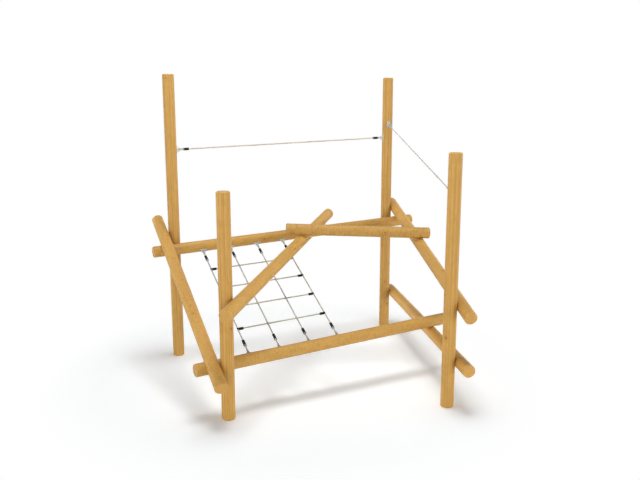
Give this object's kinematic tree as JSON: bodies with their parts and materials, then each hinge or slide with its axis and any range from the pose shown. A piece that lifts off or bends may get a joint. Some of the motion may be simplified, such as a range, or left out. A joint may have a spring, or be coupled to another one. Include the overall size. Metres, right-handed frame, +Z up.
{
  "type": "climbing frame",
  "caption": "Fixed climbing frame of round logs on upright posts, with a slanted rope climbing net and two taut hand ropes.",
  "frame": {"origin": "on the ground, under the middle of the frame's box", "axes": "+X along the front from the left post to the right post, +Y to the rear, +Z up"},
  "size_m": [3.5289, 3.4284, 3.51],
  "materials": {
    "log_wood": "turned larch-coloured softwood, oiled, fine lengthwise grain",
    "plug_wood": "turned softwood plugs, cut flush",
    "galvanised_steel": "dull galvanised steel",
    "screw_steel": "dark dull coated steel",
    "rope": "laid beige rope",
    "black_ferrule": "matte black"
  },
  "bodies": {
    "root": {"post_rear_left": "log_wood", "post_front_left": "log_wood", "post_rear_right": "log_wood", "post_front_right": "log_wood", "beam_rear": "log_wood", "beam_front": "log_wood", "brace_left": "log_wood", "rail_right_upper": "log_wood", "rail_right_lower": "log_wood", "log_leaning": "log_wood", "log_top": "log_wood", "log_screws": "screw_steel", "wood_plugs": "plug_wood", "net_eye_plates_rear": "galvanised_steel", "net_eye_plates_front": "galvanised_steel", "hand_rope_eye_plates": "galvanised_steel", "net_plate_screws": "screw_steel", "hand_rope_plate_screws": "screw_steel", "net_thimbles_rear": "galvanised_steel", "net_thimbles_front": "galvanised_steel", "hand_rope_thimbles": "galvanised_steel", "net_rope_1": "rope", "net_rope_2": "rope", "net_rope_3": "rope", "net_rope_4": "rope", "cross_rope_1": "rope", "cross_rope_2": "rope", "cross_rope_3": "rope", "cross_rope_4": "rope", "net_ferrules_rear": "black_ferrule", "net_ferrules_front": "black_ferrule", "cross_rope_tees_left": "black_ferrule", "cross_rope_tees_right": "black_ferrule", "hand_rope_rear": "rope", "hand_rope_right": "rope", "hand_rope_ferrules": "black_ferrule", "hand_rope_sleeves": "galvanised_steel"}
  },
  "joints": []
}
